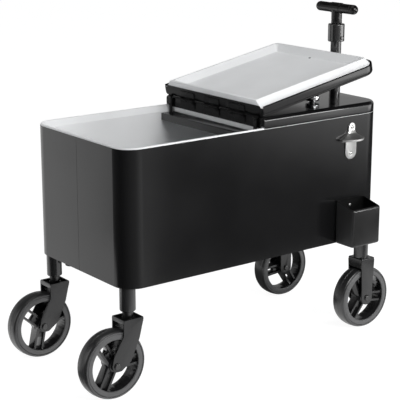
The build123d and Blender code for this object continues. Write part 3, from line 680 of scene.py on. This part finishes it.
def edgeLine(shape, inset, hinge):
    # along the front edge, round the free end's two corners and back
    right, half, corner = shape["right"] - inset, shape["half"] - inset, shape["corner"] - inset
    line = [(hinge, -half)]
    for way in (-1, 1):
        for step in range(shape["steps"] + 1):
            angle = math.radians(90 * step / shape["steps"])
            reach = (math.sin(angle), -math.cos(angle)) if way < 0 else (math.cos(angle), math.sin(angle))
            line.append((right - corner + corner * reach[0], way * (half - corner) + corner * reach[1]))
    line.append((hinge, half))
    return line


def openAtHinge(band, reach):
    # a closed band loses its upright face along the hinge
    for face in band.data.polygons:
        face.select = abs(face.normal.x) > facesAlong and face.center.x < mm(reach, 0, 0).x
    bpy.ops.object.mode_set(mode="EDIT")
    bpy.ops.mesh.delete(type="FACE")
    bpy.ops.object.mode_set(mode="OBJECT")


def buildEdge(shape, strips, name):
    # each strip is an upright band along the lid's edge, thickened inwards
    bands = []
    for strip in strips:
        line = edgeLine(shape, strip["inset"], strip["hinge"])
        bpy.ops.object.select_all(action="DESELECT")
        bpy.ops.mesh.primitive_circle_add(vertices=len(line), radius=0.1, location=(0, 0, 0))
        band = bpy.context.object
        for vertex, (x, y) in zip(band.data.vertices, line):
            vertex.co = mm(x, y, strip["low"])
        bpy.ops.object.mode_set(mode="EDIT")
        bpy.ops.mesh.select_mode(type="VERT")
        bpy.ops.mesh.select_all(action="SELECT")
        tall = (strip["high"] - strip["low"]) / 1000
        bpy.ops.mesh.extrude_region_move(TRANSFORM_OT_translate={"value": (0, 0, tall)})
        bpy.ops.mesh.select_all(action="SELECT")
        bpy.ops.mesh.normals_make_consistent(inside=False)
        bpy.ops.mesh.select_mode(type="FACE")
        bpy.ops.mesh.select_all(action="DESELECT")
        bpy.ops.object.mode_set(mode="OBJECT")
        openAtHinge(band, shape["hingeSide"])
        sheet = band.modifiers.new("thickness", "SOLIDIFY")
        sheet.thickness = strip["thick"] / 1000
        sheet.offset = -1
        bpy.ops.object.modifier_apply(modifier="thickness")
        roundEdges(band, min(shape["edgeRound"], strip["thick"] / 3), steps=1, angle=50)
        bands.append(band)
    return joinPieces(bands, name)


def leftTwin(piece, name):
    # the same piece on the left lid, which lies turned over on the right one
    twin = copyPiece(piece, name)
    twin.data.transform(lidSwing @ lidMirror)
    twin.data.flip_normals()
    return twin


hingeLine = mm(0, 0, 0)
lidMirror = Matrix.Translation(hingeLine) @ Matrix.Scale(-1, 4, (1, 0, 0)) @ Matrix.Translation(-hingeLine)
gasket = buildEdge(edgeShape, edgeShape["gasket"], "rightGasket")
standFor(leftTwin(gasket, "leftGasket"), "left_lid_seal", angle=30)
standFor(gasket, "right_lid_seal", angle=30)
hem = buildEdge(edgeShape, edgeShape["hem"], "rightHem")
for piece, body in ((leftTwin(hem, "leftHem"), "left_lid"), (hem, "right_lid")):
    dress(piece, "lidPaint", 30)
    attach(piece, body)
print("lid edges made")


# covers: the pressed covers, with a darker, duller coat on the end that faces the hinge: painted shade for
# the shaded hinge side
coverShape = {"hingeEnd": 8.0, "coat": "hingeShadePaint"}


def buildCover(shape, side, place):
    # place takes the shut right lid to where this lid lies
    nodeName = side + "_lid_shell"
    cover = standFor(nodeCopy(nodeName, side + "Cover"), nodeName)
    cover.data.materials.append(finish[shape["coat"]])
    back = place.inverted()
    for face in cover.data.polygons:
        along = (back @ face.center - hingeLine).x * 1000
        facing = abs((back.to_3x3() @ face.normal).x)
        # the hinge end's faces take the painted shade
        if along < shape["hingeEnd"] and facing > facesAlong:
            face.material_index = 1


buildCover(coverShape, "right", Matrix.Identity(4))
buildCover(coverShape, "left", lidSwing @ lidMirror)
print("covers coated")


# tray plug: the small domed plug with a slot that closes the foaming hole in each tray's floor
plugShape = {
    "x": 345.6, "y": 16.0, "floor": 326.0, "radius": 3.2, "rise": 1.1, "shankInset": 1.0, "shankDeep": 1.0,
    # shares of the radius and of the rise
    "dome": [(1.0, 0.0), (1.0, 0.35), (0.8, 0.75), (0.45, 1.0)],
    "slotLong": 9.6, "slotWide": 0.9, "slotDeep": 0.6, "edgeRound": 0.1,
}


def buildPlug(shape):
    # drawn with its seat at the origin and its dome up, then turned over into the tray's floor
    radius, rise = shape["radius"], shape["rise"]
    shank = radius - shape["shankInset"]
    profile = [(shank, -shape["shankDeep"]), (shank, 0.0)]
    profile += [(out * radius, up * rise) for out, up in shape["dome"]]
    plug = turned("trayPlugPattern", profile, around=32)
    bladeSize = (shape["slotLong"] / 1000, shape["slotWide"] / 1000, 2 * shape["slotDeep"] / 1000)
    cutAway(plug, cubeScaled(bladeSize, (0, 0, rise / 1000)))
    roundEdges(plug, shape["edgeRound"], steps=1, angle=50)
    return plug


trayPlug = buildPlug(plugShape)
plugPlace = mm(plugShape["x"], plugShape["y"], plugShape["floor"])
trayPlug.data.transform(Matrix.Translation(plugPlace) @ Matrix.Rotation(math.pi, 4, "X"))
leftPlug = leftTwin(trayPlug, "leftTrayPlug")
trayPlug.name = "rightTrayPlug"
for piece, body in ((leftPlug, "left_lid"), (trayPlug, "right_lid")):
    dress(piece, "darkNylon", 30)
    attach(piece, body)
print("tray plugs made")


# grip: T bar with a middle boss, end rings and a parting line, on a tapered neck
gripShape = {
    "x": 412.0, "level": 561.0, "radius": 12.5, "half": 74.0, "bossHalf": 18.0,
    # (distance past the boss's end, height over the bar), and the same from the bar's end inwards
    "boss": [(-1.0, 1.3), (0.0, 0.5), (0.6, 0.0)],
    "ring": [(19.0, 0.0), (18.6, -0.5), (17.6, -0.5), (17.2, 0.0)],
    "endTurn": 12, "tip": (0.02, 0.6),
    # the neck's outline, as (radius over neckRadius, height over neckLow), and how far it goes into the bar
    "neckRadius": 14.0, "neckLow": 520.4, "neckSink": 6.0,
    "neck": [(-1.2, 0.0), (-0.3, 0.3), (0.0, 1.2), (0.0, 9.0), (-0.6, 9.6), (-0.6, 10.6), (0.0, 11.2)],
}


def buildGrip(shape):
    # half of the bar's outline, from the middle to the round end, then the same for the other half
    bar, half = shape["radius"], shape["half"]
    right = [(shape["bossHalf"] + past, bar + over) for past, over in shape["boss"]]
    right += [(half - back, bar + over) for back, over in shape["ring"]]
    right += [(half - bar, bar)]
    for turn in range(shape["endTurn"], 90, shape["endTurn"]):
        angle = math.radians(turn)
        right.append((half - bar + bar * math.sin(angle), bar * math.cos(angle)))
    right.append((half - shape["tip"][0], shape["tip"][1]))
    line = [(radius, -y) for y, radius in reversed(right)] + [(radius, y) for y, radius in right]
    crossBar = turned("gripBar", line, around=64, way="Y", place=mm(shape["x"], 0, shape["level"]))
    outline = [(shape["neckRadius"] + out, shape["neckLow"] + up) for out, up in shape["neck"]]
    outline.append((shape["neckRadius"], shape["level"] - shape["neckSink"]))
    neck = turned("gripNeck", outline, around=64, place=mm(shape["x"], 0, 0))
    return joinPieces([crossBar, neck], "handleGrip")


standFor(buildGrip(gripShape), "handle_grip", angle=30)
print("grip turned")


# studio: the floor and the backdrop are seen white, and mirrored with a brightness for each direction
studio = {
    "cameraPlace": (-1.8637, -2.4137, 1.1858), "cameraTilt": 75.15, "cameraTurn": -37.07,
    "lens": 114.69, "sensor": 36.0, "farClip": 50.0,
    "skyColour": (0.96, 0.98, 1.0), "skyStrength": 0.34,
    # the floor's paint, and the share and strength of the glow that whitens it for the lens
    "floorSize": 60.0, "floorColour": 0.92, "floorRough": 0.9, "floorGlow": 1.22, "floorGlowShare": 0.76,
    "lamps": [
        {
            "name": "topLamp", "place": (-0.3, 0.1, 2.6), "aim": (0, 0, 0.3),
            "size": (2.4, 2.0), "power": 8,
        },
        {
            "name": "leftLamp", "place": (-2.6, 0.9, 1.2), "aim": (0, 0, 0.4),
            "size": (1.6, 2.0), "power": 10,
        },
        {
            "name": "frontLamp", "place": (0.1, -2.6, 1.9), "aim": (0.1, 0, 0.5),
            "size": (1.6, 1.2), "power": 58,
        },
        {
            "name": "sideCard", "place": (1.62, -0.98, 0.5), "aim": (0.43, 0, 0.78),
            "size": (1, 0.32), "power": 2.4,
        },
        {
            "name": "rollCard", "place": (1.6, -2.2, 0.86), "aim": (0.2, -0.2, 0.62),
            "size": (1, 0.44), "power": 25,
        },
    ],
    # mirrored floor: degrees around the near corner from the right end's direction, and brightness
    "floorTurn": [
        (-180, 0.04), (-163, 0.07), (-142, 0.14), (-120, 0.22), (-98, 0.30), (-80, 0.55), (-70, 0.70),
        (-58, 0.76), (-55.6, 0.48), (-54, 0.13), (-46, 0.11), (-30, 0.11), (0, 0.05), (60, 0.10),
        (100, 1.15), (117, 1.15), (121, 1.08), (124, 0.84), (127, 0.42), (132, 0.18), (149, 0.08),
        (174, 0.04), (180, 0.04),
    ],
    "floorCentre": (-0.27, -0.19),
    # and metres towards the right end, where it brightens, times the same across, where it ends
    "floorReach": [
        (0.0, 0.0), (1.2, 0.11), (1.5, 0.22), (1.62, 0.28), (1.72, 0.48), (1.9, 0.82), (2.3, 1.15),
        (6.0, 1.15),
    ],
    "floorFront": [(-4.0, 1.0), (-1.45, 1.0), (-1.1, 0.0), (4.0, 0.0)],
    # patches of bright floor near the wheels: metres along and across, inside the patch span
    "patchSpan": (-3.0, 3.0),
    "patches": [
        {"along": (-0.45, 1.4), "across": (-0.68, -0.02)},
        {"along": (-0.62, -0.45), "across": (0.12, 0.6)},
        {"along": (-1.06, -0.74), "across": (0.3, 1.1)},
    ],
    "patchEdge": 0.08,
    # mirrored backdrop: degrees around, and brightness
    "skyTurn": [
        (-180, 0.05), (-100, 0.10), (-60, 0.14), (-20, 0.2), (20, 0.45), (100, 0.5), (130, 0.4),
        (150, 0.05), (180, 0.05),
    ],
    # and the sine of the height angle
    "skyRise": [(0.0, 1.0), (0.36, 1.0), (0.42, 0.06), (1.0, 0.10)],
}


def greyRamp(tree, share, stops):
    # a ramp of greys: share runs from 0 at the first stop to 1 at the last
    low, high = stops[0][0], stops[-1][0]
    ramp = tree.nodes.new("ShaderNodeValToRGB")
    band = ramp.color_ramp
    while len(band.elements) < len(stops):
        band.elements.new(0.5)
    for element, (where, bright) in zip(band.elements, stops):
        element.position = (where - low) / (high - low)
        element.color = (bright, bright, bright, 1)
    tree.links.new(share, ramp.inputs["Fac"])
    return ramp.outputs["Color"]


def valueRamp(tree, value, stops):
    # the same for a plain value, in the stops' own units
    share = tree.nodes.new("ShaderNodeMapRange")
    share.inputs["From Min"].default_value = stops[0][0]
    share.inputs["From Max"].default_value = stops[-1][0]
    tree.links.new(value, share.inputs["Value"])
    return greyRamp(tree, share.outputs["Result"], stops)


def joinTones(tree, way, first, second):
    # two tones multiplied, or the brighter of the two
    both = tree.nodes.new("ShaderNodeVectorMath")
    both.operation = way
    tree.links.new(first, both.inputs[0])
    tree.links.new(second, both.inputs[1])
    return both.outputs[0]


def turnShade(tree, vector, centre, stops):
    # brightness by the direction around a centre: the stops run from -180 to 180 degrees
    shift = tree.nodes.new("ShaderNodeMapping")
    shift.inputs["Location"].default_value = (-centre[0], -centre[1], 0)
    tree.links.new(vector, shift.inputs["Vector"])
    sweep = tree.nodes.new("ShaderNodeTexGradient")
    sweep.gradient_type = "RADIAL"
    tree.links.new(shift.outputs["Vector"], sweep.inputs["Vector"])
    return greyRamp(tree, sweep.outputs["Fac"], stops)


def glowShader(tree, strength):
    glow = tree.nodes.new("ShaderNodeEmission")
    glow.inputs["Color"].default_value = (1, 1, 1, 1)
    glow.inputs["Strength"].default_value = strength
    return glow


def rayChoice(tree, lit, seen, mirrored):
    # one shader for the light, one for the lens and one for mirrors
    rays = tree.nodes.new("ShaderNodeLightPath")
    first = tree.nodes.new("ShaderNodeMixShader")
    tree.links.new(rays.outputs["Is Camera Ray"], first.inputs["Fac"])
    tree.links.new(lit, first.inputs[1])
    tree.links.new(seen, first.inputs[2])
    second = tree.nodes.new("ShaderNodeMixShader")
    tree.links.new(rays.outputs["Is Glossy Ray"], second.inputs["Fac"])
    tree.links.new(first.outputs[0], second.inputs[1])
    tree.links.new(mirrored, second.inputs[2])
    return second.outputs[0]


def axisParts(tree, vector):
    parts = tree.nodes.new("ShaderNodeSeparateXYZ")
    tree.links.new(vector, parts.inputs[0])
    return parts.outputs


def buildSky(look):
    world = bpy.data.worlds.new("paleStudio")
    bpy.context.scene.world = world
    world.use_nodes = True
    tree = world.node_tree
    lit = tree.nodes["Background"]
    lit.inputs["Color"].default_value = (*look["skyColour"], 1)
    lit.inputs["Strength"].default_value = look["skyStrength"]
    seen = tree.nodes.new("ShaderNodeBackground")
    seen.inputs["Color"].default_value = (1, 1, 1, 1)
    mirrored = tree.nodes.new("ShaderNodeBackground")
    place = tree.nodes.new("ShaderNodeTexCoord").outputs["Object"]
    around = turnShade(tree, place, (0, 0), look["skyTurn"])
    upward = valueRamp(tree, axisParts(tree, place)["Z"], look["skyRise"])
    tree.links.new(joinTones(tree, "MULTIPLY", around, upward), mirrored.inputs["Color"])
    choice = rayChoice(tree, lit.outputs[0], seen.outputs[0], mirrored.outputs[0])
    tree.links.new(choice, tree.nodes["World Output"].inputs["Surface"])


def floorTones(tree, look):
    # the mirrored floor: the brightest of the round shade, the far right and the patches
    place = tree.nodes.new("ShaderNodeTexCoord").outputs["Object"]
    parts = axisParts(tree, place)
    tones = turnShade(tree, place, look["floorCentre"], look["floorTurn"])
    reach = valueRamp(tree, parts["X"], look["floorReach"])
    front = valueRamp(tree, parts["Y"], look["floorFront"])
    tones = joinTones(tree, "MAXIMUM", tones, joinTones(tree, "MULTIPLY", reach, front))
    edge = look["patchEdge"]
    first, last = look["patchSpan"]
    for patch in look["patches"]:
        sides = []
        for axis, key in (("X", "along"), ("Y", "across")):
            low, high = patch[key]
            rise = [(first, 0.0), (low - edge, 0.0), (low, 1.0)]
            fall = [(high, 1.0), (high + edge, 0.0), (last, 0.0)]
            sides.append(valueRamp(tree, parts[axis], rise + fall))
        tones = joinTones(tree, "MAXIMUM", tones, joinTones(tree, "MULTIPLY", *sides))
    return tones


def buildFloor(look):
    bpy.ops.object.select_all(action="DESELECT")
    bpy.ops.mesh.primitive_plane_add(size=look["floorSize"], location=(0, 0, 0))
    floor = bpy.context.object
    floor.name = "paleFloor"
    paint = bpy.data.materials.new("paleFloorPaint")
    paint.use_nodes = True
    tree = paint.node_tree
    shader = tree.nodes["Principled BSDF"]
    shader.inputs["Base Color"].default_value = (*[look["floorColour"]] * 3, 1)
    shader.inputs["Roughness"].default_value = look["floorRough"]
    seen = tree.nodes.new("ShaderNodeMixShader")
    seen.inputs["Fac"].default_value = look["floorGlowShare"]
    tree.links.new(shader.outputs[0], seen.inputs[1])
    tree.links.new(glowShader(tree, look["floorGlow"]).outputs[0], seen.inputs[2])
    mirrored = glowShader(tree, 1.0)
    tree.links.new(floorTones(tree, look), mirrored.inputs["Color"])
    choice = rayChoice(tree, shader.outputs[0], seen.outputs[0], mirrored.outputs[0])
    tree.links.new(choice, tree.nodes["Material Output"].inputs["Surface"])
    floor.data.materials.append(paint)


def buildLamp(lamp):
    light = bpy.data.lights.new(lamp["name"], "AREA")
    light.shape = "RECTANGLE"
    light.size, light.size_y = lamp["size"]
    light.energy = lamp["power"]
    holder = bpy.data.objects.new(lamp["name"], light)
    bpy.context.scene.collection.objects.link(holder)
    holder.location = lamp["place"]
    aim = Vector(lamp["aim"]) - Vector(lamp["place"])
    holder.rotation_euler = aim.to_track_quat("-Z", "Y").to_euler()


def buildCamera(look):
    lens = bpy.data.cameras.new("photoCamera")
    lens.lens = look["lens"]
    lens.sensor_width = look["sensor"]
    lens.clip_end = look["farClip"]
    camera = bpy.data.objects.new("photoCamera", lens)
    bpy.context.scene.collection.objects.link(camera)
    turn = Matrix.Rotation(math.radians(look["cameraTurn"]), 4, "Z")
    tilt = Matrix.Rotation(math.radians(look["cameraTilt"]), 4, "X")
    camera.matrix_world = Matrix.Translation(look["cameraPlace"]) @ turn @ tilt
    bpy.context.scene.camera = camera


buildSky(studio)
buildFloor(studio)
for lamp in studio["lamps"]:
    buildLamp(lamp)
buildCamera(studio)
bpy.context.scene.view_settings.view_transform = "Standard"
print("studio set")
